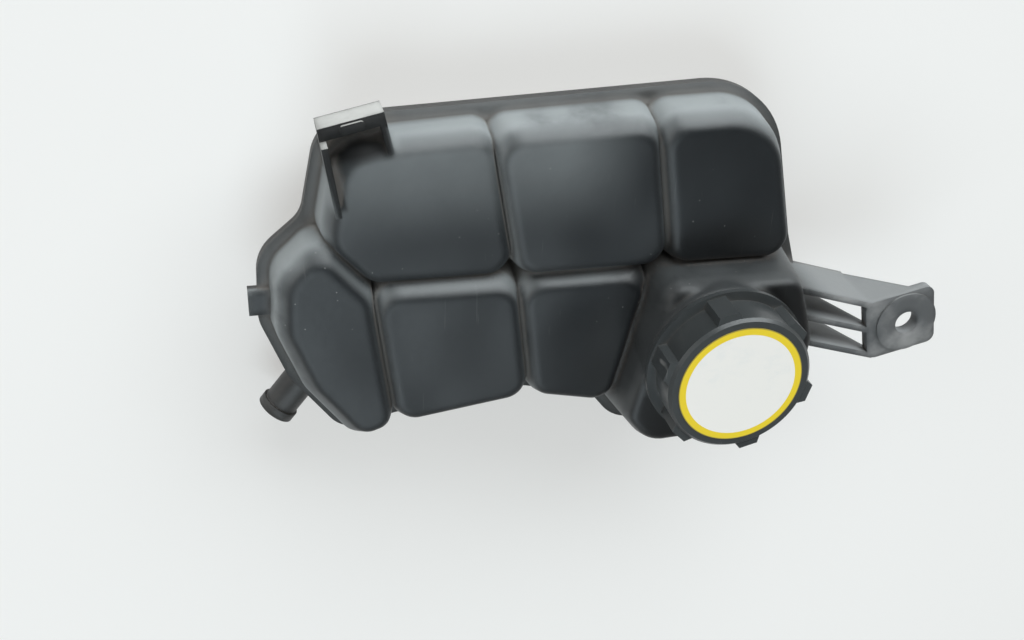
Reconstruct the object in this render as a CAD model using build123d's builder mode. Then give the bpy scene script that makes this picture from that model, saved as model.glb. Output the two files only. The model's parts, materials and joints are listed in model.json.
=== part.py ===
"""Coolant expansion tank with a screw-on pressure cap. Millimetres, +Z up.

The origin is the mounting bore of the side arm, on the upper face of its plate.
X runs along the long side of the tank, Y across it.
"""
import math
import os

from build123d import *

os.makedirs("parts", exist_ok=True)

# Place of the filler neck axis and the weld plane, seen from the mounting bore
NECK_X = -91.0
NECK_Y = -2.0
WELD_DROP = 30.0
WELD = Plane(origin=(NECK_X, NECK_Y, -WELD_DROP))

# Shell walls
WALL = 3.0
UPPER_SLOPE = 7.0
LOWER_SLOPE = 15.0
SEAM_H = 16.0
CELL_H = 22.0
CORNER_CELL_H = 19.0
NECK_CELL_H = 36.0
LOWER_H = 33.0
CROWN_H = 6.0
OUTER_CROWN_W = 6.0
ROW_CROWN_W = 5.5
SEAM_CROWN_W = 2.0
TOP_EDGE_R = 2.5
CROWN_EDGE_R = 5.0
TRAY_EDGE_R = 7.0
SEAM_R = 9.0
SIDE_R = 15.0
SHOULDER_R = 33.0
CORNER_SHARE = 0.45
FLANGE_W = 4.2
FLANGE_T = 2.5

# Corners of the cells at seam height, measured from the neck axis
TOP_LEFT = (-153.0, 92.0)
TOP_SEAM_1 = (-94.8, 95.6)
TOP_SEAM_2 = (-29.5, 98.8)
TOP_RIGHT = (20.0, 100.5)
MID_LEFT = (-160.5, 55.0)
MID_SEAM_0 = (-141.5, 34.0)
MID_SEAM_1 = (-83.0, 34.0)
MID_SEAM_2 = (-18.5, 34.0)
MID_SEAM_3 = (-25.0, 34.0)
MID_RIGHT = (36.5, 33.5)
LOW_SEAM_0 = (-132.5, -31.6)
LOW_SEAM_1 = (-75.0, -23.6)
LOW_SEAM_3 = (-39.0, -31.6)
WEDGE_TOP = (-161.0, 56.5)
WEDGE_UPPER = (-178.0, 40.0)
WEDGE_SIDE = (-179.0, 15.0)
WEDGE_LOWER = (-169.0, -11.5)
WEDGE_FOOT = (-150.0, -37.6)
NECK_CELL_SIDE = (47.0, 2.0)
NECK_CELL_RIGHT = (44.0, -44.0)
NECK_CELL_FOOT = (-27.0, -47.0)

# Filler neck
NECK_R = 27.0
NECK_BORE_R = 23.0
NECK_TOP = 56.0
COLLAR_R = 31.5
COLLAR_H = 5.0

# Side arm
PLATE_L = 32.0
PLATE_W = 29.0
PLATE_T = 4.5
PLATE_R = 4.0
PLATE_REACH = 13.7
ARM_TURN = 13.0
BOSS_R = 14.0
BOSS_H = 1.0
BORE_R = 5.3
RIB_T = 2.5
RIB_ANGLE = 163.0
RIB_L = 48.0
RIB_TAPER_L = 21.0

# Slide-in pocket at the far corner
POCKET_X = -147.8
POCKET_Y = 103.0
POCKET_TURN = 13.0
POCKET_W = 25.0
POCKET_BAR = 5.0
POCKET_LOW = 8.0
POCKET_H = 12.0
POCKET_WALL = 2.4
POCKET_SIDE_L = 17.0
BLADE_TURN = 9.0
BLADE_L = 33.0
BLADE_RISE = 7.0
NUB_L = 9.0
NUB_W = 3.4
NUB_H = 1.2

# Small tab on the weld flange
TAB_X = -180.0
TAB_Y = 23.0
TAB_L = 17.0
TAB_W = 11.0
TAB_H = 5.0

# Hose stubs
OUTLET_X = -160.0
OUTLET_Y = -14.0
OUTLET_DROP = 13.0
OUTLET_ANGLE = 232.0
OUTLET_L = 33.0
OUTLET_R = 7.4
OUTLET_BORE_R = 5.4
VENT_X = 26.0
VENT_Y = -38.0
VENT_UP = 12.0
VENT_L = 26.0
VENT_R = 4.0
VENT_BORE_R = 2.6
BEAD_H = 0.9
BEAD_L = 4.0

# Cap grip and label
CAP_H = 17.5
CAP_DISC_T = 3.0
CAP_R = 30.2
CAP_WALL = 1.7
CAP_BEVEL = 1.2
RIM_W = 4.0
RIM_T = 2.2
LUG_COUNT = 6
LUG_START = 45.0
LUG_W = 12.0
LUG_H = 2.8
LUG_ANGLE = 65.0
LABEL_R = 26.2
LABEL_T = 0.3
HUB_R = 6.0
HUB_LIP = 1.0
HUB_LIP_T = 1.6

# Valve insert under the cap
POT_GAP = 0.8
POT_WALL = 4.0
POT_L = 33.5
POT_HEAD_R = 26.5
POT_HEAD_T = 1.5
HEAD_RING_H = 1.5
GASKET_T = 1.5
GASKET_W = 3.2
RING_R = 1.5
RING_DROP = 8.0
RELIEF_HOLE_R = 1.8
RELIEF_HOLE_COUNT = 4
RELIEF_HOLE_DROP = 3.5
SEAT_FLANGE_T = 1.5
SEAT_FLANGE_W = 3.0
SEAT_H = 3.0
SEAT_HOLE_R = 11.0
SEAT_LIP_W = 1.0
SEAT_LIP_H = 0.8
SEAL_T = 1.4
SEAL_R = 14.0
SEAL_HOLE_R = 5.0
DISC_R = 15.5
DISC_T = 1.6
DISC_HOLE_R = 2.3
DISC_RING_W = 1.1
DISC_RING_H = 1.5
SPRING_R = 10.5
SPRING_WIRE_R = 0.8
SPRING_TURNS = 5.0
POPPET_R = 6.4
POPPET_T = 1.5
STEM_R = 1.6
STEM_L = 10.0
CLIP_R = 5.0
CLIP_T = 1.2
CLIP_DROP = 0.8
VACUUM_SPRING_R = 3.6
VACUUM_WIRE_R = 0.35
VACUUM_TURNS = 4.0
WIRE_SIDES = 6

# Clearances
TURN_GAP = 0.05
SEAL_GAP = 0.10
SEAT_GAP = 0.05
SPRING_GAP = 0.10
LIP_GAP = 0.30
SAME_LEVEL = 0.01

# Heights above the weld plane that follow from the dimensions
HEAD_Z = NECK_TOP + GASKET_T
HEAD_TOP = HEAD_Z + POT_HEAD_T
DISC_Z = HEAD_TOP + TURN_GAP
CAP_TOP = DISC_Z + CAP_DISC_T
CAP_LOW = CAP_TOP - CAP_H
POT_LOW = HEAD_Z - POT_L
RING_Z = NECK_TOP - RING_DROP
SEAT_TOP = POT_LOW + SEAT_H
SEAL_Z = SEAT_TOP + SEAT_LIP_H
PLATE_Z = SEAL_Z + SEAL_T
PLATE_TOP = PLATE_Z + DISC_T
STEM_TOP = SEAL_Z + STEM_L
CLIP_Z = STEM_TOP - CLIP_DROP - CLIP_T

# Radii that follow from the dimensions
CAP_BORE_R = CAP_R - CAP_WALL
POT_R = NECK_BORE_R - POT_GAP
POT_BORE_R = POT_R - POT_WALL
RING_MID_R = NECK_BORE_R - SEAL_GAP - RING_R
FOOT_GROW = SEAM_H * math.tan(math.radians(UPPER_SLOPE))


def heading(angle):
    """Level direction at an angle from X."""
    return (math.cos(math.radians(angle)), math.sin(math.radians(angle)), 0)


def upright(origin, angle):
    """Upright plane with local x along a level direction and local y up."""
    return Plane(origin=origin, x_dir=heading(angle), z_dir=heading(angle - 90))


def moved_in(corners, distances):
    """Corners of a counter-clockwise outline with each side moved inwards by its own distance."""
    lines = []
    for here, there, distance in zip(corners, corners[1:] + corners[:1], distances):
        run_x = there[0] - here[0]
        run_y = there[1] - here[1]
        length = math.hypot(run_x, run_y)
        base_x = here[0] - run_y / length * distance
        base_y = here[1] + run_x / length * distance
        lines.append((base_x, base_y, run_x, run_y))
    result = []
    for first, second in zip(lines[-1:] + lines[:-1], lines):
        cross = first[2] * second[3] - first[3] * second[2]
        gap_x = second[0] - first[0]
        gap_y = second[1] - first[1]
        along = (gap_x * second[3] - gap_y * second[2]) / cross
        result.append((first[0] + along * first[2], first[1] + along * first[3]))
    return result


def largest_radius(before, corner, after):
    """Radius that still leaves a straight piece on both sides of a corner."""
    side_in = math.dist(before, corner)
    side_out = math.dist(corner, after)
    way_in = math.atan2(corner[1] - before[1], corner[0] - before[0])
    way_out = math.atan2(after[1] - corner[1], after[0] - corner[0])
    turn = abs(math.remainder(way_out - way_in, 2 * math.pi))
    return CORNER_SHARE * min(side_in, side_out) / math.tan(turn / 2)


def outline(cell, distance, crown_share, radius_change):
    """Rounded face of a cell with its sides moved inwards by a distance and a share of their crowns."""
    distances = [distance + crown_share * crown for corner, radius, crown in cell]
    corners = moved_in([corner for corner, radius, crown in cell], distances)
    radii = [radius + radius_change for corner, radius, crown in cell]
    with BuildSketch() as face:
        Polygon(*corners, align=None)
        for before, corner, after, radius in zip(corners[-1:] + corners[:-1], corners,
                                                 corners[1:] + corners[:1], radii):
            point = face.vertices().sort_by_distance((corner[0], corner[1], 0))[0]
            fillet(point, min(radius, largest_radius(before, corner, after)))
    return face.sketch


def cell_body(cell, height, wall):
    """One cell of the upper shell: a tapered wall and a bevelled crown, inset by a wall thickness."""
    foot = wall - FOOT_GROW
    crown_z = height - CROWN_H - wall / 2
    waist = foot + crown_z * math.tan(math.radians(UPPER_SLOPE))
    foot_face = outline(cell, foot, 0, -wall)
    waist_face = outline(cell, waist, 0, -wall)
    top_face = outline(cell, waist, 1, -wall)
    with BuildPart() as body:
        with BuildSketch(WELD):
            add(foot_face)
        with BuildSketch(WELD.offset(crown_z)):
            add(waist_face)
        with BuildSketch(WELD.offset(height - wall)):
            add(top_face)
        loft(ruled=True)
        if wall == 0:
            level = WELD.origin.Z + crown_z
            fillet(body.faces().sort_by(Axis.Z)[-1].edges(), TOP_EDGE_R)
            shoulder = body.edges().filter_by_position(Axis.Z, level - SAME_LEVEL, level + SAME_LEVEL)
            fillet(shoulder, CROWN_EDGE_R)
    return body.part


def tray_body(ring, depth, wall):
    """The tray of the lower shell, inset by a wall thickness."""
    foot = wall - FOOT_GROW
    far = foot + depth * math.tan(math.radians(LOWER_SLOPE))
    foot_face = outline(ring, foot, 0, -wall)
    far_face = outline(ring, far, 0, -wall)
    with BuildPart() as body:
        with BuildSketch(WELD):
            add(foot_face)
        with BuildSketch(WELD.offset(wall - depth)):
            add(far_face)
        loft(ruled=True)
        if wall == 0:
            fillet(body.faces().sort_by(Axis.Z)[0].edges(), TRAY_EDGE_R)
    return body.part


def weld_flange(ring, height):
    """Flat weld flange round the tank."""
    face = outline(ring, -FOOT_GROW - FLANGE_W, 0, FLANGE_W)
    with BuildPart() as body:
        with BuildSketch(WELD):
            add(face)
        extrude(amount=height)
    return body.part


# Cells as rings of corners, each with its corner radius and the crown of the side that starts there
CELL_A = [(TOP_LEFT, SIDE_R, OUTER_CROWN_W), (MID_LEFT, SIDE_R, SEAM_CROWN_W),
          (MID_SEAM_0, SEAM_R, SEAM_CROWN_W), (MID_SEAM_1, SEAM_R, SEAM_CROWN_W),
          (TOP_SEAM_1, SEAM_R, OUTER_CROWN_W)]
CELL_B = [(TOP_SEAM_1, SEAM_R, SEAM_CROWN_W), (MID_SEAM_1, SEAM_R, SEAM_CROWN_W),
          (MID_SEAM_2, SEAM_R, SEAM_CROWN_W), (TOP_SEAM_2, SEAM_R, OUTER_CROWN_W)]
CELL_C = [(TOP_SEAM_2, SEAM_R, SEAM_CROWN_W), (MID_SEAM_2, SEAM_R, SEAM_CROWN_W),
          (MID_RIGHT, SEAM_R, SEAM_CROWN_W), (TOP_RIGHT, SHOULDER_R, OUTER_CROWN_W)]
CELL_D = [(WEDGE_TOP, SEAM_R, OUTER_CROWN_W), (WEDGE_UPPER, SIDE_R, OUTER_CROWN_W),
          (WEDGE_SIDE, SIDE_R, OUTER_CROWN_W), (WEDGE_LOWER, SIDE_R, ROW_CROWN_W),
          (WEDGE_FOOT, SEAM_R, SEAM_CROWN_W), (LOW_SEAM_0, SEAM_R, SEAM_CROWN_W),
          (MID_SEAM_0, SEAM_R, ROW_CROWN_W)]
CELL_E = [(MID_SEAM_0, SEAM_R, SEAM_CROWN_W), (LOW_SEAM_0, SEAM_R, SEAM_CROWN_W),
          (LOW_SEAM_1, SEAM_R, SEAM_CROWN_W), (MID_SEAM_1, SEAM_R, ROW_CROWN_W)]
CELL_F = [(MID_SEAM_1, SEAM_R, SEAM_CROWN_W), (LOW_SEAM_1, SEAM_R, SEAM_CROWN_W),
          (LOW_SEAM_3, SEAM_R, SEAM_CROWN_W), (MID_SEAM_3, SEAM_R, ROW_CROWN_W)]
CELL_G = [(MID_SEAM_3, SEAM_R, SEAM_CROWN_W), (LOW_SEAM_3, SEAM_R, SEAM_CROWN_W),
          (NECK_CELL_FOOT, SIDE_R, SEAM_CROWN_W), (NECK_CELL_RIGHT, SIDE_R, SEAM_CROWN_W),
          (NECK_CELL_SIDE, SIDE_R, SEAM_CROWN_W), (MID_RIGHT, SEAM_R, SEAM_CROWN_W)]
UPPER_CELLS = [(CELL_A, CORNER_CELL_H), (CELL_B, CELL_H), (CELL_C, CELL_H), (CELL_D, CELL_H),
               (CELL_E, CELL_H), (CELL_F, CELL_H), (CELL_G, NECK_CELL_H)]
# The tank's own outline, round all the cells
TANK = [(TOP_RIGHT, SHOULDER_R, 0), (TOP_LEFT, SIDE_R, 0), (MID_LEFT, SEAM_R, 0),
        (WEDGE_UPPER, SIDE_R, 0), (WEDGE_SIDE, SIDE_R, 0), (WEDGE_LOWER, SIDE_R, 0),
        (WEDGE_FOOT, SEAM_R, 0), (LOW_SEAM_0, SEAM_R, 0), (LOW_SEAM_1, SEAM_R, 0),
        (LOW_SEAM_3, SEAM_R, 0), (NECK_CELL_FOOT, SIDE_R, 0), (NECK_CELL_RIGHT, SIDE_R, 0),
        (NECK_CELL_SIDE, SIDE_R, 0), (MID_RIGHT, SEAM_R, 0)]

upper_outside = [cell_body(cell, height, 0) for cell, height in UPPER_CELLS]
upper_inside = [cell_body(cell, height, WALL) for cell, height in UPPER_CELLS]
lower_outside = tray_body(TANK, LOWER_H, 0)
lower_inside = tray_body(TANK, LOWER_H, WALL)

# Frames of the neck, the arm, the pocket and the hose stubs
NECK_AXIS = Axis(WELD.origin, (0, 0, 1))
PROFILE = upright(WELD.origin, 0)
ARM = Plane(origin=(0, 0, 0), x_dir=heading(ARM_TURN), z_dir=(0, 0, 1))
POCKET = Plane(origin=WELD.from_local_coords((POCKET_X, POCKET_Y, POCKET_LOW)),
               x_dir=heading(POCKET_TURN), z_dir=(0, 0, 1))
BLADE = Plane(origin=POCKET.from_local_coords((-POCKET_W / 2, 0, 0)),
              x_dir=heading(BLADE_TURN), z_dir=(0, 0, 1))
VENT = Plane(origin=WELD.from_local_coords((VENT_X, VENT_Y, VENT_UP)),
             x_dir=(1, 0, 0), z_dir=(0, -1, 0))
OUTLET = Plane(origin=WELD.from_local_coords((OUTLET_X, OUTLET_Y, -OUTLET_DROP)),
               x_dir=(0, 0, 1), z_dir=heading(OUTLET_ANGLE))
PLATE_START = PLATE_REACH - PLATE_L
RIB_ROWS = [PLATE_W / 2 - RIB_T / 2, 0.0, RIB_T / 2 - PLATE_W / 2]

# Upper shell with filler neck, arm, pocket, flange tab and vent stub
with BuildPart() as upper_shell:
    for solid in upper_outside:
        add(solid)
    add(weld_flange(TANK, FLANGE_T))
    # Filler neck and its collar
    with BuildSketch(WELD):
        Circle(NECK_R)
    extrude(amount=NECK_TOP)
    with BuildSketch(WELD):
        Circle(COLLAR_R)
    extrude(amount=NECK_CELL_H + COLLAR_H)
    # Arm plate with its boss
    with BuildSketch(ARM):
        with Locations((PLATE_START + PLATE_L / 2, 0)):
            RectangleRounded(PLATE_L, PLATE_W, PLATE_R)
    extrude(amount=-PLATE_T)
    with BuildSketch(ARM.offset(-PLATE_T)):
        Circle(BOSS_R)
    extrude(amount=PLATE_T + BOSS_H)
    # Arm ribs from the plate to the tank wall, the first one at full depth
    for row in RIB_ROWS:
        lead_in = 0.0 if row == RIB_ROWS[0] else RIB_TAPER_L
        tip_depth = WELD_DROP if row == RIB_ROWS[0] else PLATE_T
        tip = ARM.from_local_coords((PLATE_START + RIB_T, row, 0))
        with BuildSketch(upright(tip, RIB_ANGLE)):
            Polygon((0, 0), (0, -tip_depth), (lead_in + RIB_T, -WELD_DROP),
                    (RIB_L, -WELD_DROP), (RIB_L, 0), align=None)
        extrude(amount=RIB_T / 2, both=True)
    # Edge rib under the plate, in line with the first arm rib
    corner = ARM.from_local_coords((PLATE_START + RIB_T / 2, RIB_ROWS[0], 0))
    with BuildSketch(upright(corner, ARM_TURN)):
        Polygon((0, 0), (0, -WELD_DROP), (RIB_TAPER_L, -PLATE_T), (RIB_TAPER_L, 0), align=None)
    extrude(amount=RIB_T / 2, both=True)
    # Pocket: outer bar, short side wall, long blade and the nub on the bar
    with BuildSketch(POCKET):
        with Locations((0, -POCKET_BAR / 2)):
            Rectangle(POCKET_W, POCKET_BAR)
        with Locations((POCKET_W / 2 - POCKET_WALL / 2, -POCKET_SIDE_L / 2)):
            Rectangle(POCKET_WALL, POCKET_SIDE_L)
    extrude(amount=POCKET_H)
    with BuildSketch(BLADE):
        with Locations((POCKET_WALL / 2, -BLADE_L / 2)):
            Rectangle(POCKET_WALL, BLADE_L)
    extrude(amount=POCKET_H)
    with BuildSketch(BLADE.offset(POCKET_H)):
        with Locations((POCKET_WALL / 2, -POCKET_BAR - (BLADE_L - POCKET_BAR) / 2)):
            Rectangle(POCKET_WALL, BLADE_L - POCKET_BAR)
    extrude(amount=BLADE_RISE)
    with BuildSketch(POCKET.offset(POCKET_H)):
        with Locations((0, -POCKET_BAR / 2)):
            RectangleRounded(NUB_L, NUB_W, NUB_W / 3)
    extrude(amount=NUB_H)
    # Flange tab
    with BuildSketch(WELD):
        with Locations((TAB_X, TAB_Y)):
            Rectangle(TAB_L, TAB_W)
    extrude(amount=TAB_H)
    # Vent stub on the far side of the neck cell
    with BuildSketch(VENT):
        Circle(VENT_R)
    extrude(amount=VENT_L)
    with BuildSketch(VENT.offset(VENT_L - BEAD_L)):
        Circle(VENT_R + BEAD_H)
    extrude(amount=BEAD_L / 2)
    # Hollow inside, neck bore, stub bore and mounting bore
    for solid in upper_inside:
        add(solid, mode=Mode.SUBTRACT)
    with BuildSketch(WELD):
        Circle(NECK_BORE_R)
    extrude(amount=NECK_TOP, mode=Mode.SUBTRACT)
    with BuildSketch(VENT):
        Circle(VENT_BORE_R)
    extrude(amount=VENT_L, mode=Mode.SUBTRACT)
    with BuildSketch(ARM.offset(BOSS_H)):
        Circle(BORE_R)
    extrude(amount=-PLATE_T - BOSS_H, mode=Mode.SUBTRACT)
upper_shell.part.label = "upper_shell"

# Lower shell with the hose outlet stub
with BuildPart() as lower_shell:
    add(lower_outside)
    add(weld_flange(TANK, -FLANGE_T))
    with BuildSketch(OUTLET):
        Circle(OUTLET_R)
    extrude(amount=OUTLET_L)
    with BuildSketch(OUTLET.offset(OUTLET_L - BEAD_L)):
        Circle(OUTLET_R + BEAD_H)
    extrude(amount=BEAD_L)
    add(lower_inside, mode=Mode.SUBTRACT)
    with BuildSketch(OUTLET):
        Circle(OUTLET_BORE_R)
    extrude(amount=OUTLET_L, mode=Mode.SUBTRACT)
lower_shell.part.label = "lower_shell"

# Cap grip: cup, rim, lugs and the hub that holds the valve insert
with BuildPart() as cap_grip:
    with BuildSketch(PROFILE):
        Polygon((0, DISC_Z), (CAP_BORE_R, DISC_Z), (CAP_BORE_R, CAP_LOW),
                (CAP_R + RIM_W, CAP_LOW), (CAP_R + RIM_W, CAP_LOW + RIM_T),
                (CAP_R, CAP_LOW + RIM_T), (CAP_R, CAP_TOP - CAP_BEVEL),
                (CAP_R - CAP_BEVEL, CAP_TOP), (0, CAP_TOP), align=None)
    revolve(axis=NECK_AXIS)
    with BuildSketch(WELD.offset(CAP_LOW)):
        with PolarLocations(CAP_BORE_R + (CAP_WALL + LUG_H) / 2, LUG_COUNT, start_angle=LUG_START):
            Trapezoid(LUG_W, CAP_WALL + LUG_H, LUG_ANGLE, rotation=-90)
    extrude(amount=CAP_H - CAP_BEVEL)
    with BuildSketch(WELD.offset(DISC_Z)):
        Circle(HUB_R)
    extrude(amount=-POT_HEAD_T - 2 * TURN_GAP - HUB_LIP_T)
    with BuildSketch(WELD.offset(HEAD_Z - TURN_GAP)):
        Circle(HUB_R + HUB_LIP)
    extrude(amount=-HUB_LIP_T)
cap_grip.part.label = "cap_grip"

# Round label on top of the cap
with BuildPart() as cap_label:
    with BuildSketch(WELD.offset(CAP_TOP)):
        Circle(LABEL_R)
    extrude(amount=LABEL_T)
cap_label.part.label = "cap_label"

# Pot that hangs in the neck, with its ring groove, relief holes and the ring that centres the spring
HEAD_RING_IN_R = HUB_R + HUB_LIP + LIP_GAP
HEAD_RING_OUT_R = SPRING_R - SPRING_WIRE_R - SPRING_GAP
GROOVE_R = RING_MID_R - RING_R - SEAL_GAP
GROOVE_HALF = RING_R + SEAL_GAP
with BuildPart() as valve_pot:
    with BuildSketch(PROFILE):
        Polygon((HUB_R + TURN_GAP, HEAD_Z), (HEAD_RING_IN_R, HEAD_Z),
                (HEAD_RING_IN_R, HEAD_Z - HEAD_RING_H), (HEAD_RING_OUT_R, HEAD_Z - HEAD_RING_H),
                (HEAD_RING_OUT_R, HEAD_Z), (POT_BORE_R, HEAD_Z), (POT_BORE_R, POT_LOW),
                (POT_R, POT_LOW), (POT_R, RING_Z - GROOVE_HALF), (GROOVE_R, RING_Z - GROOVE_HALF),
                (GROOVE_R, RING_Z + GROOVE_HALF), (POT_R, RING_Z + GROOVE_HALF),
                (POT_R, HEAD_Z), (POT_HEAD_R, HEAD_Z), (POT_HEAD_R, HEAD_TOP),
                (HUB_R + TURN_GAP, HEAD_TOP), align=None)
    revolve(axis=NECK_AXIS)
    for turn in range(RELIEF_HOLE_COUNT):
        side = upright(WELD.origin, 360.0 / RELIEF_HOLE_COUNT * turn)
        with BuildSketch(side):
            with Locations((0, NECK_TOP - RELIEF_HOLE_DROP)):
                Circle(RELIEF_HOLE_R)
        extrude(amount=POT_R + POT_GAP, mode=Mode.SUBTRACT)
valve_pot.part.label = "valve_pot"

# Flat gasket between the neck rim and the head of the pot
with BuildPart() as rim_gasket:
    with BuildSketch(WELD.offset(NECK_TOP)):
        Circle(NECK_BORE_R + GASKET_W)
        Circle(NECK_BORE_R, mode=Mode.SUBTRACT)
    extrude(amount=GASKET_T)
rim_gasket.part.label = "rim_gasket"

# Round sealing ring in the groove of the pot
with BuildPart() as pot_ring:
    with BuildSketch(PROFILE):
        with Locations((RING_MID_R, RING_Z)):
            Circle(RING_R)
    revolve(axis=NECK_AXIS)
pot_ring.part.label = "pot_ring"

# Valve seat pressed into the foot of the pot
with BuildPart() as valve_seat:
    with BuildSketch(PROFILE):
        Polygon((SEAT_HOLE_R, POT_LOW - SEAT_FLANGE_T),
                (POT_BORE_R + SEAT_FLANGE_W, POT_LOW - SEAT_FLANGE_T),
                (POT_BORE_R + SEAT_FLANGE_W, POT_LOW), (POT_BORE_R - SEAT_GAP, POT_LOW),
                (POT_BORE_R - SEAT_GAP, SEAT_TOP), (SEAT_HOLE_R + SEAT_LIP_W, SEAT_TOP),
                (SEAT_HOLE_R + SEAT_LIP_W, SEAL_Z), (SEAT_HOLE_R, SEAL_Z), align=None)
    revolve(axis=NECK_AXIS)
valve_seat.part.label = "valve_seat"

# Rubber disc of the pressure valve
with BuildPart() as pressure_seal:
    with BuildSketch(WELD.offset(SEAL_Z)):
        Circle(SEAL_R)
        Circle(SEAL_HOLE_R, mode=Mode.SUBTRACT)
    extrude(amount=SEAL_T)
pressure_seal.part.label = "pressure_seal"

# Pressure valve disc with the ring that centres its spring
GUIDE_R = SPRING_R + SPRING_WIRE_R + SPRING_GAP
with BuildPart() as pressure_disc:
    with BuildSketch(PROFILE):
        Polygon((DISC_HOLE_R, PLATE_Z), (DISC_R, PLATE_Z), (DISC_R, PLATE_TOP),
                (GUIDE_R + DISC_RING_W, PLATE_TOP), (GUIDE_R + DISC_RING_W, PLATE_TOP + DISC_RING_H),
                (GUIDE_R, PLATE_TOP + DISC_RING_H), (GUIDE_R, PLATE_TOP),
                (DISC_HOLE_R, PLATE_TOP), align=None)
    revolve(axis=NECK_AXIS)
pressure_disc.part.label = "pressure_disc"

# Pressure spring between the disc and the head of the pot
SPRING_LOW = PLATE_TOP + SPRING_GAP + SPRING_WIRE_R
SPRING_L = HEAD_Z - SPRING_GAP - SPRING_WIRE_R - SPRING_LOW
with BuildPart() as pressure_spring:
    with BuildLine(WELD.offset(SPRING_LOW)):
        coil = Helix(pitch=SPRING_L / SPRING_TURNS, height=SPRING_L, radius=SPRING_R)
    with BuildSketch(Plane(origin=coil @ 0, z_dir=coil % 0)):
        RegularPolygon(SPRING_WIRE_R, WIRE_SIDES)
    sweep(path=coil, is_frenet=True)
pressure_spring.part.label = "pressure_spring"

# Vacuum poppet under the rubber disc, with its stem
with BuildPart() as vacuum_poppet:
    with BuildSketch(PROFILE):
        Polygon((0, SEAL_Z - POPPET_T), (POPPET_R, SEAL_Z - POPPET_T), (POPPET_R, SEAL_Z),
                (STEM_R, SEAL_Z), (STEM_R, STEM_TOP), (0, STEM_TOP), align=None)
    revolve(axis=NECK_AXIS)
vacuum_poppet.part.label = "vacuum_poppet"

# Clip on the stem of the poppet
with BuildPart() as vacuum_clip:
    with BuildSketch(WELD.offset(CLIP_Z)):
        Circle(CLIP_R)
        Circle(STEM_R + SEAT_GAP, mode=Mode.SUBTRACT)
    extrude(amount=CLIP_T)
vacuum_clip.part.label = "vacuum_clip"

# Vacuum spring between the pressure disc and the clip
VACUUM_LOW = PLATE_TOP + SPRING_GAP + VACUUM_WIRE_R
VACUUM_L = CLIP_Z - SPRING_GAP - VACUUM_WIRE_R - VACUUM_LOW
with BuildPart() as vacuum_spring:
    with BuildLine(WELD.offset(VACUUM_LOW)):
        small_coil = Helix(pitch=VACUUM_L / VACUUM_TURNS, height=VACUUM_L, radius=VACUUM_SPRING_R)
    with BuildSketch(Plane(origin=small_coil @ 0, z_dir=small_coil % 0)):
        RegularPolygon(VACUUM_WIRE_R, WIRE_SIDES)
    sweep(path=small_coil, is_frenet=True)
vacuum_spring.part.label = "vacuum_spring"

export_step(upper_shell.part, "parts/upper_shell.step")
export_step(lower_shell.part, "parts/lower_shell.step")
export_step(cap_grip.part, "parts/cap_grip.step")
export_step(cap_label.part, "parts/cap_label.step")
export_step(valve_pot.part, "parts/valve_pot.step")
export_step(rim_gasket.part, "parts/rim_gasket.step")
export_step(pot_ring.part, "parts/pot_ring.step")
export_step(valve_seat.part, "parts/valve_seat.step")
export_step(pressure_seal.part, "parts/pressure_seal.step")
export_step(pressure_disc.part, "parts/pressure_disc.step")
export_step(pressure_spring.part, "parts/pressure_spring.step")
export_step(vacuum_poppet.part, "parts/vacuum_poppet.step")
export_step(vacuum_clip.part, "parts/vacuum_clip.step")
export_step(vacuum_spring.part, "parts/vacuum_spring.step")
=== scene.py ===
"""Looks of a coolant expansion tank: view, light, finishes, screw threads and valve springs. Metres."""
import json
import math

import bpy
from mathutils import Matrix, Vector


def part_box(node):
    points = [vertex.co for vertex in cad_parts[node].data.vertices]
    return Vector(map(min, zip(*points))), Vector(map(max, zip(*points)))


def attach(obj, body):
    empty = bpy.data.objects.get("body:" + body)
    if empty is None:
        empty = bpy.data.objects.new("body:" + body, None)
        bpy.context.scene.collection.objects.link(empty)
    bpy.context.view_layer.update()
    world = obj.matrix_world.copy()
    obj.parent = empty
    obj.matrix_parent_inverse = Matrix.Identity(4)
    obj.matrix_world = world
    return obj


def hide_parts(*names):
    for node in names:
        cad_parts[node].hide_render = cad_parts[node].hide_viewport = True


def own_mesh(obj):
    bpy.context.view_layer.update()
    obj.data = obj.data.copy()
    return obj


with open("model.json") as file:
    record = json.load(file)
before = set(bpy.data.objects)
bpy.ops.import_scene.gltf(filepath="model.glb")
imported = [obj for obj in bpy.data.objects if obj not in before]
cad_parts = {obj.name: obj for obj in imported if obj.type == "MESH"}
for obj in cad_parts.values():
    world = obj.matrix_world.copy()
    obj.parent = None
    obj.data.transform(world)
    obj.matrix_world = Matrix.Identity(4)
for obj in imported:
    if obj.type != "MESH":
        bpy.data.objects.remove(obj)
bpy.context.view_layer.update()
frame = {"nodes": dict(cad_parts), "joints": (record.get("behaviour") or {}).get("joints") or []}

MM = 0.001

# Places read from the frame
LABEL_LOW, LABEL_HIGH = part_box("cap_label")
GRIP_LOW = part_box("cap_grip")[0]
GASKET_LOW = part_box("rim_gasket")[0]
LOWER_LOW, LOWER_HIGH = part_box("lower_shell")
NECK = (LABEL_LOW + LABEL_HIGH) / 2
WELD_Z = LOWER_HIGH.z
FLOOR_Z = LOWER_LOW.z
LABEL_R = (LABEL_HIGH.x - LABEL_LOW.x) / 2

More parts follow.
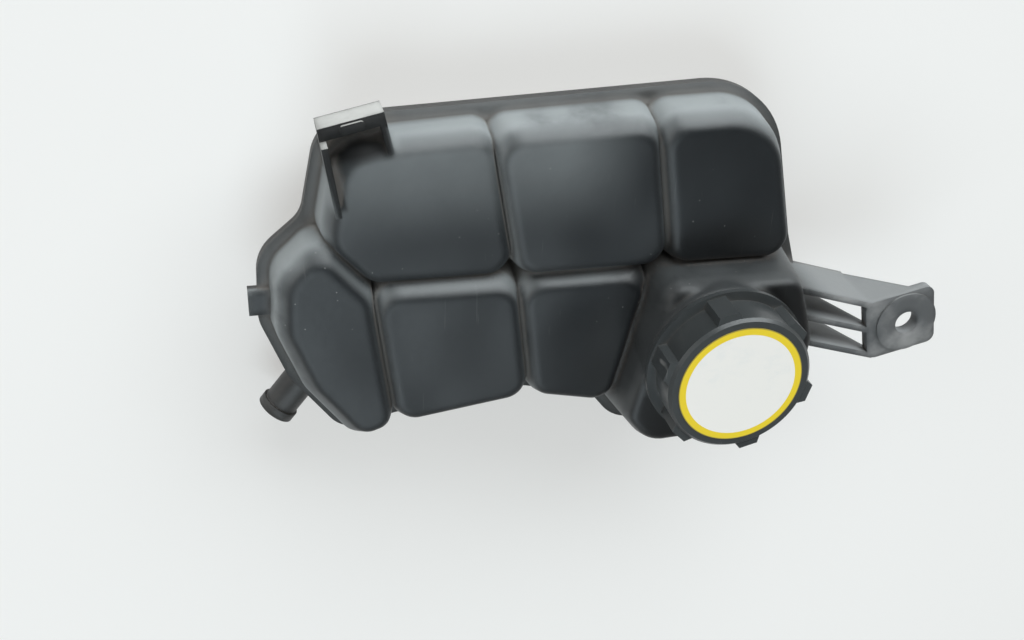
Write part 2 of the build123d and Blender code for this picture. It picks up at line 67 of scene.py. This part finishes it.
# Corner pocket in its own turned axes, where shade and a highlight are painted: each pair goes from none
# to full
POCKET = Vector((-238.8, 101.0, -22.0)) * MM
POCKET_TURN = math.radians(13)
BAR_HALF = (15.0 * MM, 13.5 * MM)
BAR_BACK = (-7.0 * MM, -5.5 * MM)
BLADE_FOOT = (-36.0 * MM, -33.0 * MM)
BLADE_TOP = (3.0 * MM, 1.0 * MM)
BLADE_INNER = (-9.0 * MM, -10.5 * MM)
BLADE_OUTER = (-14.5 * MM, -13.0 * MM)
HOLLOW_HALF = (13.0 * MM, 11.0 * MM)
HOLLOW_BACK = (-20.0 * MM, -15.0 * MM)
# where the painted highlight on the bar's back starts
HIGHLIGHT_FROM = (-1.0 * MM, 1.0 * MM)

# Where the other finishes of shell, cap and label change, with the painted shade by the neck and the
# painted sheen: pairs as above, single values are reach or depth
NECK_SHADE = (60.0 * MM, 44.0 * MM)
ARM_START = (-52.0 * MM, -34.0 * MM)
FLANGE_DUST = (9.0 * MM, 1.0 * MM)
WALL_HAZE_AND_SHEEN = (1.5 * MM, 4.0 * MM)
# extent of the painted sheen on the upper left fronts
SHEEN_BACK = (46.0 * MM, 92.0 * MM)
SHEEN_LEFT = (-120.0 * MM, -160.0 * MM)
SHELL_GROOVE = 9.0 * MM
CAP_GROOVE = 4.0 * MM
HAZE_AND_SHEEN_ROUNDING = 7.0 * MM
EDGE_ROUNDING = 5.0 * MM
WAVE_DEPTH = 6.0 * MM
GROOVE_SAMPLES = 8
EDGE_SAMPLES = 6
RING_IN = (3.1 * MM, 2.9 * MM)
RIM_WORN = (0.5 * MM, 0.2 * MM)

# Screw thread between neck and cap
THREAD_PITCH = 6.0 * MM
NECK_WALL_R = 27.0 * MM
NECK_CREST_R = 28.2 * MM
CAP_WALL_R = 28.5 * MM
CAP_CREST_R = 27.3 * MM
THREAD_ROOT_W = 2.6 * MM
THREAD_CREST_W = 1.0 * MM
THREAD_SINK = 0.15 * MM
THREAD_STEPS = 72
RIDGE_CORNERS = 4
RUN_OUT_STEPS = THREAD_STEPS // 10
RUN_OUT_LEAST = 0.05
NECK_THREAD_DROP = 9.0 * MM
NECK_THREAD_TURNS = 1.25
CAP_THREAD_RISE = 2.4 * MM
CAP_THREAD_TURNS = 1.3

# Valve springs
WIRE_SIDES = 12
COIL_STEPS = 48
CLOSED_PITCH = 2.1
RELIEF_WIRE_R = 0.8 * MM
RELIEF_TURNS = 6.0
RELIEF_CLOSED = 0.9
BREATHER_WIRE_R = 0.35 * MM
BREATHER_TURNS = 5.0
BREATHER_CLOSED = 0.8
SMOOTH_BELOW = math.radians(35)

# Floor and backdrop
FLOOR_SIZE = 21.0
BACKDROP_R = 10.0
BACKDROP_H = 5.4
BACKDROP_SIDES = 96
FLOOR_GLOW = 0.45

# View of the photograph
CAMERA_PLACE = Vector((-0.28434, 0.25752, 0.39895))
CAMERA_RIGHT = Vector((0.97123, 0.03930, 0.23487))
CAMERA_DOWN = Vector((-0.08497, -0.86417, 0.49598))
CAMERA_AHEAD = Vector((0.22246, -0.50167, -0.83597))
CAMERA_LENS = 42.19
SENSOR_W = 36.0
CLIP_NEAR = 0.01
CLIP_FAR = 60.0

# Light: place, width, height, power and colour of each lamp
AIM = (-0.11, 0.03, -0.02)
WINDOW = ((1.13, 3.43, 1.66), 5.0, 2.5, 236.0, (0.92, 0.98, 1.0))
LEFT_WALL = ((-2.50, 1.00, 0.95), 2.0, 1.5, 15.0, (1.0, 0.99, 0.97))
CEILING = ((-0.61, -0.87, 1.70), 1.7, 1.7, 23.0, (0.82, 0.94, 1.0))
WORLD_COLOUR = (1.0, 0.96, 0.88, 1)
WORLD_STRENGTH = 0.16

# Colours, linear
SHELL_BLACK = (0.0040, 0.0052, 0.0064, 1)
SHELL_GREY = (0.0095, 0.0120, 0.0145, 1)
# painted shade for the corner pocket and around the neck
SHADE_BLACK = (0.0030, 0.0030, 0.0032, 1)
# the arm's grey, and a paler copy for its side facing the window: painted light
ARM_DARK = (0.098, 0.100, 0.102, 1)
ARM_LIT_GREY = (0.245, 0.250, 0.252, 1)
# haze, also used as painted sheen on walls and fronts
HAZE_AND_SHEEN_GREY = (0.330, 0.350, 0.355, 1)
DUST_BROWN = (0.310, 0.285, 0.260, 1)
# pale scuffs, also the painted highlight on the pocket bar's back
SCUFF_AND_HIGHLIGHT_PALE = (0.540, 0.530, 0.510, 1)
DUST_PALE = (0.420, 0.410, 0.400, 1)
RUST_BROWN = (0.060, 0.034, 0.022, 1)
CAP_BLACK = (0.026, 0.0290, 0.0300, 1)
CAP_GREY = (0.053, 0.0570, 0.0585, 1)
LABEL_WHITE = (0.790, 0.755, 0.715, 1)
LABEL_SMUDGE = (0.700, 0.695, 0.680, 1)
LABEL_YELLOW = (0.760, 0.560, 0.030, 1)
INSERT_GREY = (0.040, 0.040, 0.042, 1)
INSERT_PALE = (0.075, 0.074, 0.073, 1)
RUBBER_BLACK = (0.016, 0.016, 0.017, 1)
RUBBER_BLOOM = (0.050, 0.050, 0.052, 1)
STEEL_PALE = (0.600, 0.600, 0.610, 1)
STEEL_DARK = (0.380, 0.380, 0.390, 1)
BRASS_PALE = (0.720, 0.540, 0.260, 1)
BRASS_DARK = (0.420, 0.290, 0.120, 1)
FLOOR_PALE = (0.845, 0.845, 0.840, 1)
FLOOR_BRIGHT = (0.872, 0.856, 0.828, 1)


class Value:
    """A number's socket in a finish, with the arithmetic that masks need."""

    def __init__(self, finish, socket):
        self.finish = finish
        self.socket = socket

    def maths(self, operation, first, second=0.0):
        return self.finish.node("ShaderNodeMath", {"operation": operation}, {0: first, 1: second})

    def __add__(self, other):
        return self.maths("ADD", self, other)

    def __radd__(self, other):
        return self.maths("ADD", other, self)

    def __sub__(self, other):
        return self.maths("SUBTRACT", self, other)

    def __rsub__(self, other):
        return self.maths("SUBTRACT", other, self)

    def __mul__(self, other):
        return self.maths("MULTIPLY", self, other)

    def __rmul__(self, other):
        return self.maths("MULTIPLY", other, self)

    def __pow__(self, other):
        return self.maths("POWER", self, other)


class Finish:
    """A material whose nodes are added one by one."""

    def __init__(self, name):
        self.material = bpy.data.materials.new(name)
        self.material.use_nodes = True
        self.tree = self.material.node_tree
        self.shader = self.tree.nodes["Principled BSDF"]
        self.place = self.node("ShaderNodeTexCoord", out="Object")

    def connect(self, socket, value):
        if isinstance(value, Value):
            self.tree.links.new(value.socket, socket)
        else:
            socket.default_value = value

    def node(self, kind, settings=None, sockets=None, out=0):
        made = self.tree.nodes.new(kind)
        for name, value in (settings or {}).items():
            setattr(made, name, value)
        for name, value in (sockets or {}).items():
            self.connect(made.inputs[name], value)
        return Value(self, made.outputs[out])

    def surface(self, **sockets):
        for name, value in sockets.items():
            self.connect(self.shader.inputs[name.replace("_", " ")], value)
        return self.material

    def noise(self, scale, detail=3.0, rough=0.5, place=None):
        return self.node("ShaderNodeTexNoise", None, {
            "Vector": place or self.place, "Scale": scale, "Detail": detail, "Roughness": rough})

    def spots(self, scale):
        """Distance from the nearest of many scattered points."""
        return self.node("ShaderNodeTexVoronoi", None, {"Vector": self.place, "Scale": scale}, "Distance")

    def stretched(self, scale, turn=(0, 0, 0)):
        return self.node("ShaderNodeMapping", None, {
            "Vector": self.place, "Scale": scale, "Rotation": turn}, "Vector")

    def axes(self, vector):
        parts = self.node("ShaderNodeSeparateXYZ", None, {"Vector": vector}, "X")
        outputs = parts.socket.node.outputs
        return [Value(self, outputs[name]) for name in ("X", "Y", "Z")]

    def facing(self):
        """Components of the surface's outward direction."""
        return self.axes(self.node("ShaderNodeNewGeometry", out="Normal"))

    def span(self, value, low, high):
        """0 at low, 1 at high, smooth between. Low may be the larger of the two."""
        return self.node("ShaderNodeMapRange", {"interpolation_type": "SMOOTHSTEP"}, {
            "Value": value, "From Min": low, "From Max": high})

    def within(self, value, none, full):
        """1 where value is nearer to 0 than full on either side, 0 beyond none."""
        return self.span(value ** 2, none ** 2, full ** 2)

    def larger(self, first, second):
        return self.node("ShaderNodeMath", {"operation": "MAXIMUM"}, {0: first, 1: second})

    def hollow(self, reach):
        """1 deep in a groove, 0 on open surfaces."""
        open_share = self.node(
            "ShaderNodeAmbientOcclusion", {"samples": GROOVE_SAMPLES}, {"Distance": reach}, "AO")
        return 1 - open_share

    def blend(self, share, first, second):
        made = self.tree.nodes.new("ShaderNodeMix")
        made.data_type = "RGBA"
        self.connect(made.inputs["Factor"], share)
        self.connect(made.inputs[6], first)
        self.connect(made.inputs[7], second)
        return Value(self, made.outputs[2])

    def soft_edges(self, radius):
        """The surface's direction with its edges rounded off."""
        return self.node("ShaderNodeBevel", {"samples": EDGE_SAMPLES}, {"Radius": radius}, "Normal")

    def bump(self, height, strength, depth, direction=None):
        sockets = {"Height": height, "Strength": strength, "Distance": depth}
        if direction:
            sockets["Normal"] = direction
        return self.node("ShaderNodeBump", None, sockets, "Normal")


def shell_finish():
    """Moulded black shell with hazy walls under a painted sheen, a painted sheen on the upper left fronts,
    painted shade in the corner recess and around the neck, an arm painted paler on its side facing the
    window, and road dust by the flange and in the grooves.
    """
    finish = Finish("moulded_shell")
    x, y, z = finish.axes(finish.place)
    _, out_y, out_z = finish.facing()
    soft_x, soft_y, soft_z = finish.axes(finish.soft_edges(HAZE_AND_SHEEN_ROUNDING))
    patches = finish.noise(26.0, 5.0, 0.6)
    cloud = finish.noise(9.0, 2.0)
    wave = finish.noise(15.0, 1.0)
    grain = finish.noise(2600.0, 2.0)
    fine = finish.noise(420.0, 6.0, 0.65)
    scratch = finish.noise(1.0, 2.0, 0.5, finish.stretched((900, 45, 45), (0, 0, 0.5)))
    scuffs = finish.span(scratch, 0.72, 0.80)
    specks = finish.span(finish.spots(190.0), 0.055, 0.035) * finish.span(cloud, 0.55, 0.65)

    # The corner pocket: its bar, blade and hollow are painted darker as shade, and the bar's back facing
    # the window lamp is painted pale as a highlight
    across, along, up = finish.axes(finish.node("ShaderNodeMapping", {"vector_type": "TEXTURE"}, {
        "Vector": finish.place, "Location": POCKET, "Rotation": (0, 0, POCKET_TURN)}, "Vector"))
    bar = finish.within(across, *BAR_HALF) * finish.span(along, *BAR_BACK)
    blade = finish.span(along, *BLADE_FOOT) * finish.span(across, *BLADE_INNER)
    blade = blade * finish.span(across, *BLADE_OUTER) * finish.span(along, *BLADE_TOP)
    # the hollow's mask: painted shade below, and rougher
    inside = finish.within(across, *HOLLOW_HALF) * finish.span(along, *HOLLOW_BACK)
    shaded_pocket = finish.larger(finish.larger(bar, blade), inside)
    # painted highlight: the bar's back face, facing the window lamp, painted pale
    lit_bar_back = bar * finish.span(out_y, 0.6, 0.9) * finish.span(up, *HIGHLIGHT_FROM)
    lit_bar_back = lit_bar_back * (0.55 + 0.45 * finish.span(patches, 0.3, 0.6))

    # Haze with painted sheen on the walls facing the lamps, a painted sheen on the upper left fronts,
    # painted shade around the neck, and dust by the flange, in grooves and on the arm
    neck_reach = ((x - NECK.x) ** 2 + (y - NECK.y) ** 2) ** 0.5
    # painted shade around the neck: darker, with less pale haze and dust
    shaded_by_neck = finish.span(neck_reach, *NECK_SHADE)
    arm = finish.span(x, *ARM_START)
    above_weld = z - WELD_Z
    flange = finish.span(above_weld, *FLANGE_DUST)
    groove = finish.span(finish.hollow(SHELL_GROOVE), 0.25, 0.75)
    # walls facing +Y and -X, toward the lamps, get more pale grey: painted sheen
    outward = finish.span(soft_y - soft_x * 0.6, -0.4, 0.5)
    steep_and_lit = finish.span(soft_z, 0.92, 0.35) * (0.45 + 0.55 * outward)
    haze_and_sheen = steep_and_lit * finish.span(patches, 0.10, 0.55) * finish.span(above_weld, *WALL_HAZE_AND_SHEEN)
    haze_and_sheen = haze_and_sheen * (1 - groove * 0.25) * (1 - shaded_pocket) * (1 - arm) * (1 - shaded_by_neck * 0.85)
    # painted sheen: upper left fronts paler towards the back and left
    painted_sheen = finish.span(soft_z, 0.80, 0.97) * finish.span(y, *SHEEN_BACK) * finish.span(x, *SHEEN_LEFT)
    painted_sheen = painted_sheen * (0.6 + 0.8 * patches) * (1 - shaded_pocket)
    dust = finish.span(flange * 0.40 + groove * 0.65 + patches * 0.25 - 0.25, 0.05, 0.85)
    dust = dust * (1 - shaded_by_neck * 0.6)
    arm_dust = arm * finish.span(out_z, 0.6, 0.95) * finish.span(patches, 0.42, 0.7)

    plain = finish.blend(cloud, SHELL_BLACK, SHELL_GREY)
    # painted shade: the pocket's bar, blade and hollow darkened towards near black
    plain = finish.blend(shaded_pocket * 0.6 + inside * 0.35, plain, SHADE_BLACK)
    # painted shade around the neck and cap
    plain = finish.blend(shaded_by_neck * 0.6, plain, SHADE_BLACK)
    # painted light: the arm is paler where it faces +Y, toward the window lamp
    arm_lit_and_shaded = finish.blend(finish.span(out_y, 0.0, 0.6), ARM_DARK, ARM_LIT_GREY)
    plain = finish.blend(arm * 0.85, plain, arm_lit_and_shaded)
    plain = finish.blend(arm_dust * 0.5, plain, DUST_PALE)
    # haze mixed with painted sheen on the walls, and painted sheen on the upper left fronts
    hazed_and_lit = finish.blend(haze_and_sheen * 0.8 + painted_sheen * 0.35, plain, HAZE_AND_SHEEN_GREY)
    # pale scuffs, and the painted highlight on the bar's back
    worn = finish.blend(scuffs * 0.04 + lit_bar_back * 0.85, hazed_and_lit, SCUFF_AND_HIGHLIGHT_PALE)
    stained = finish.blend(groove * 0.25 * finish.span(fine, 0.4, 0.6), worn, RUST_BROWN)
    dusty = finish.blend(dust * 0.55, stained, DUST_BROWN)
    speckled = finish.blend(specks * 0.5, dusty, DUST_PALE)
    rough = 0.40 + inside * 0.3 + dust * 0.34 + haze_and_sheen * 0.20 + painted_sheen * 0.1 + (fine - 0.5) * 0.16 + arm * 0.16
    waves = finish.bump(wave, 1.0, WAVE_DEPTH, finish.soft_edges(EDGE_ROUNDING))
    return finish.surface(
        Base_Color=speckled, Roughness=rough,
        Normal=finish.bump(grain * 0.5 + fine * 0.5, 0.22, 0.12 * MM, waves))


def cap_finish():
    """Satin black cap, a little paler on its worn edges."""
    finish = Finish("moulded_cap")
    cloud = finish.noise(40.0, 4.0, 0.6)
    fine = finish.noise(700.0, 5.0, 0.6)
    grain = finish.noise(2600.0, 2.0)
    groove = finish.span(finish.hollow(CAP_GROOVE), 0.3, 0.8)
    scratch = finish.noise(1.0, 2.0, 0.5, finish.stretched((700, 60, 60), (0, 0, 1.1)))
    scuffs = finish.span(scratch, 0.69, 0.78)
    plain = finish.blend(cloud, CAP_BLACK, CAP_GREY)
    worn = finish.blend(scuffs * 0.3, plain, DUST_PALE)
    dusty = finish.blend(groove * 0.22 + finish.span(cloud, 0.55, 0.8) * 0.06, worn, DUST_BROWN)
    return finish.surface(
        Base_Color=dusty, Roughness=0.33 + (fine - 0.5) * 0.2 + groove * 0.2,
        Normal=finish.bump(grain * 0.6 + fine * 0.4, 0.2, 0.1 * MM))


def label_finish():
    """White film with a plain yellow ring near its edge."""
    finish = Finish("label_film")
    x, y, _ = finish.axes(finish.place)
    reach = ((x - NECK.x) ** 2 + (y - NECK.y) ** 2) ** 0.5
    smudge = finish.noise(70.0, 5.0, 0.65)
    fine = finish.noise(900.0, 4.0)
    from_edge = LABEL_R - reach
    ring = finish.span(from_edge, *RING_IN)
    edge = finish.span(from_edge, *RIM_WORN)
    film = finish.blend(finish.span(smudge, 0.52, 0.75) * 0.6, LABEL_WHITE, LABEL_SMUDGE)
    printed = finish.blend(ring, film, LABEL_YELLOW)
    trimmed = finish.blend(edge * 0.6, printed, CAP_GREY)
    return finish.surface(
        Base_Color=trimmed, Roughness=0.64 + (smudge - 0.5) * 0.3, Specular_IOR_Level=0.22,
        Normal=finish.bump(fine, 0.08, 0.05 * MM))


def insert_finish():
    """Glass-filled plastic of the valve insert."""
    finish = Finish("insert_plastic")
    cloud = finish.noise(120.0, 5.0, 0.6)
    grain = finish.noise(2400.0, 3.0)
    return finish.surface(
        Base_Color=finish.blend(cloud, INSERT_GREY, INSERT_PALE), Roughness=0.45 + (cloud - 0.5) * 0.2,
        Normal=finish.bump(grain, 0.2, 0.08 * MM))


def rubber_finish():
    """Black seal rubber with a faint bloom."""
    finish = Finish("seal_rubber")
    bloom = finish.noise(160.0, 5.0, 0.65)
    grain = finish.noise(3000.0, 3.0)
    return finish.surface(
        Base_Color=finish.blend(finish.span(bloom, 0.45, 0.75), RUBBER_BLACK, RUBBER_BLOOM),
        Roughness=0.62 + (bloom - 0.5) * 0.25, Normal=finish.bump(grain, 0.25, 0.06 * MM))


def metal_finish(name, pale, dark):
    """Drawn or turned metal with fine marks."""
    finish = Finish(name)
    marks = finish.noise(1.0, 4.0, 0.6, finish.stretched((200, 200, 4000)))
    cloud = finish.noise(150.0, 4.0)
    return finish.surface(
        Base_Color=finish.blend(finish.span(cloud, 0.3, 0.7), pale, dark), Metallic=1.0,
        Roughness=0.24 + marks * 0.2, Normal=finish.bump(marks, 0.15, 0.05 * MM))


def floor_finish():
    """Plain pale floor, partly aglow for what is seen directly or mirrored, so that it stays pale."""
    finish = Finish("pale_floor")
    rays = finish.node("ShaderNodeLightPath").socket.node.outputs
    seen = Value(finish, rays["Is Camera Ray"]) + Value(finish, rays["Is Glossy Ray"])
    seen = seen + Value(finish, rays["Is Transmission Ray"])
    finish.surface(Base_Color=FLOOR_PALE, Roughness=0.75)
    bright = finish.node("ShaderNodeEmission", None, {"Color": FLOOR_BRIGHT})
    both = finish.node("ShaderNodeMixShader", None, {0: seen * FLOOR_GLOW})
    mixer = both.socket.node
    finish.tree.links.new(finish.shader.outputs[0], mixer.inputs[1])
    finish.tree.links.new(bright.socket, mixer.inputs[2])
    finish.tree.links.new(both.socket, finish.tree.nodes["Material Output"].inputs["Surface"])
    return finish.material


def in_edit_mode(piece):
    """Makes the piece the only active one and opens its mesh with nothing selected."""
    bpy.ops.object.select_all(action="DESELECT")
    bpy.context.view_layer.objects.active = piece
    piece.select_set(True)
    bpy.ops.object.mode_set(mode="EDIT")
    bpy.ops.mesh.select_all(action="DESELECT")


def close_ends(piece):
    """Fills the open ends of a swept shape and turns its faces outwards."""
    in_edit_mode(piece)
    bpy.ops.mesh.select_non_manifold(extend=False, use_boundary=True, use_wire=False,
                                     use_multi_face=False, use_non_contiguous=False, use_verts=False)
    bpy.ops.mesh.fill_holes(sides=0)
    bpy.ops.mesh.select_all(action="SELECT")
    bpy.ops.mesh.normals_make_consistent(inside=False)
    bpy.ops.object.mode_set(mode="OBJECT")


def wind(piece, turns, rise, steps):
    """Winds an outline about the upright axis into a screw and closes its ends."""
    screw = piece.modifiers.new("wind", "SCREW")
    screw.axis = "Z"
    screw.angle = turns * 2 * math.pi
    screw.screw_offset = rise
    screw.steps = steps
    screw.render_steps = steps
    bpy.ops.object.modifier_apply(modifier=screw.name)
    close_ends(piece)


def finish_piece(piece, name, material):
    """Names a piece, gives it its finish and smooth shading, with its place kept in its mesh."""
    bpy.ops.object.transform_apply(location=True, rotation=True, scale=True)
    piece.name = name
    piece.data.name = name
    piece.data.materials.clear()
    piece.data.materials.append(material)
    bpy.ops.object.shade_smooth_by_angle(angle=SMOOTH_BELOW)
    return piece


def thread_ridge(name, wall_r, crest_r, low, turns, material):
    """A screw thread's ridge from the wall to its crest, with run-outs at both ends."""
    bpy.ops.object.select_all(action="DESELECT")
    bpy.ops.mesh.primitive_plane_add(size=1.0, rotation=(math.pi / 2, 0, 0))
    piece = bpy.context.object
    bpy.ops.object.transform_apply(rotation=True)
    sink = math.copysign(THREAD_SINK, wall_r - crest_r)
    for corner in piece.data.vertices:
        at_crest = corner.co.x > 0
        half = (THREAD_CREST_W if at_crest else THREAD_ROOT_W) / 2
        corner.co = ((crest_r if at_crest else wall_r + sink), 0, low + math.copysign(half, corner.co.z))
    in_edit_mode(piece)
    bpy.ops.mesh.select_all(action="SELECT")
    bpy.ops.mesh.delete(type="ONLY_FACE")
    bpy.ops.object.mode_set(mode="OBJECT")
    steps = int(THREAD_STEPS * turns)
    wind(piece, turns, THREAD_PITCH * turns, steps)
    for corner in piece.data.vertices:
        step = corner.index // RIDGE_CORNERS
        share = min(1.0, step / RUN_OUT_STEPS, (steps - step) / RUN_OUT_STEPS)
        reach = math.hypot(corner.co.x, corner.co.y)
        wanted = wall_r + sink + (reach - wall_r - sink) * max(share, RUN_OUT_LEAST)
        corner.co.x *= wanted / reach
        corner.co.y *= wanted / reach
    piece.location = (NECK.x, NECK.y, 0)
    return finish_piece(piece, name, material)


def make_spring(name, node, wire_r, turns, closed, material):
    """A coil spring with closed end turns in the place of its solid."""
    low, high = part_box(node)
    radius = (high.x - low.x) / 2 - wire_r
    rise = high.z - low.z - 2 * wire_r
    bpy.ops.object.select_all(action="DESELECT")
    bpy.ops.mesh.primitive_circle_add(vertices=WIRE_SIDES, radius=wire_r, fill_type="NOTHING",
                                      location=(radius, 0, 0), rotation=(math.pi / 2, 0, 0))
    piece = bpy.context.object
    bpy.ops.object.transform_apply(location=True, rotation=True)
    steps = int(COIL_STEPS * turns)
    wind(piece, turns, rise, steps)
    pack = CLOSED_PITCH * wire_r
    free = rise - 2 * closed * pack
    for corner in piece.data.vertices:
        turned = corner.index // WIRE_SIDES / steps * turns
        middle = min(max(turned - closed, 0.0), turns - 2 * closed)
        ends = turned - middle
        height = ends * pack + middle / (turns - 2 * closed) * free
        corner.co.z += height - turned / turns * rise
    piece.location = (NECK.x, NECK.y, low.z + wire_r)
    return finish_piece(piece, name, material)


def dress(material, *nodes):
    """Gives CAD nodes their finish."""
    for name in nodes:
        mesh = frame["nodes"][name].data
        mesh.materials.clear()
        mesh.materials.append(material)


def soft_lamp(name, place, width, height, power, colour):
    """A large soft studio lamp that points at the tank."""
    lamp = bpy.data.lights.new(name, "AREA")
    lamp.shape = "RECTANGLE"
    lamp.size = width
    lamp.size_y = height
    lamp.energy = power
    lamp.color = colour
    holder = bpy.data.objects.new(name, lamp)
    holder.location = place
    holder.rotation_mode = "QUATERNION"
    holder.rotation_quaternion = (Vector(AIM) - Vector(place)).to_track_quat("-Z", "Y")
    bpy.context.scene.collection.objects.link(holder)


def make_floor():
    """A pale floor that ends at a far, low backdrop."""
    pale = floor_finish()
    bpy.ops.object.select_all(action="DESELECT")
    bpy.ops.mesh.primitive_plane_add(size=FLOOR_SIZE, location=(0, 0, FLOOR_Z))
    floor = bpy.context.object
    floor.name = "floor"
    bpy.ops.object.select_all(action="DESELECT")
    bpy.ops.mesh.primitive_cylinder_add(vertices=BACKDROP_SIDES, radius=BACKDROP_R, depth=BACKDROP_H,
                                        end_fill_type="NOTHING", location=(0, 0, FLOOR_Z))
    backdrop = bpy.context.object
    backdrop.name = "backdrop"
    for piece in (floor, backdrop):
        bpy.ops.object.select_all(action="DESELECT")
        bpy.context.view_layer.objects.active = piece
        piece.select_set(True)
        bpy.ops.object.transform_apply(location=True)
        piece.data.materials.append(pale)


def make_view():
    """The camera at the photograph's place and angle."""
    view = bpy.data.cameras.new("view")
    view.lens = CAMERA_LENS
    view.sensor_width = SENSOR_W
    view.clip_start = CLIP_NEAR
    view.clip_end = CLIP_FAR
    holder = bpy.data.objects.new("view", view)
    turned = Matrix((CAMERA_RIGHT, -CAMERA_DOWN, -CAMERA_AHEAD)).transposed().to_4x4()
    holder.matrix_world = Matrix.Translation(CAMERA_PLACE) @ turned
    bpy.context.scene.collection.objects.link(holder)
    bpy.context.scene.camera = holder


def make_light():
    """A dim, even world, one broad lamp behind the tank and two weaker ones."""
    world = bpy.data.worlds.new("studio")
    world.use_nodes = True
    background = world.node_tree.nodes["Background"]
    background.inputs["Color"].default_value = WORLD_COLOUR
    background.inputs["Strength"].default_value = WORLD_STRENGTH
    bpy.context.scene.world = world
    soft_lamp("window", *WINDOW)
    soft_lamp("left_wall", *LEFT_WALL)
    soft_lamp("ceiling", *CEILING)


def make_object():
    """Finishes on the CAD nodes, then the threads and springs."""
    steel = metal_finish("spring_steel", STEEL_PALE, STEEL_DARK)
    shell = shell_finish()
    cap = cap_finish()
    dress(shell, "upper_shell", "lower_shell")
    dress(cap, "cap_grip")
    dress(label_finish(), "cap_label")
    dress(insert_finish(), "valve_pot", "valve_seat")
    dress(rubber_finish(), "rim_gasket", "pot_ring", "pressure_seal")
    dress(steel, "pressure_disc", "vacuum_clip")
    dress(metal_finish("turned_brass", BRASS_PALE, BRASS_DARK), "vacuum_poppet")

    neck_thread = thread_ridge("neck_thread", NECK_WALL_R, NECK_CREST_R,
                               GASKET_LOW.z - NECK_THREAD_DROP, NECK_THREAD_TURNS, shell)
    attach(neck_thread, "tank")
    cap_thread = thread_ridge("cap_thread", CAP_WALL_R, CAP_CREST_R,
                              GRIP_LOW.z + CAP_THREAD_RISE, CAP_THREAD_TURNS, cap)
    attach(cap_thread, "grip")

    main_spring = make_spring("relief_coil", "pressure_spring",
                              RELIEF_WIRE_R, RELIEF_TURNS, RELIEF_CLOSED, steel)
    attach(main_spring, "insert")
    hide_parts("pressure_spring")
    small_spring = make_spring("breather_coil", "vacuum_spring",
                               BREATHER_WIRE_R, BREATHER_TURNS, BREATHER_CLOSED, steel)
    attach(small_spring, "relief")
    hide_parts("vacuum_spring")
    for joint in frame["joints"]:
        if joint["name"] == "pressure_valve":
            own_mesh(main_spring)
        if joint["name"] == "vacuum_valve":
            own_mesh(small_spring)


bpy.context.scene.view_settings.view_transform = "Standard"
make_object()
make_floor()
make_light()
make_view()
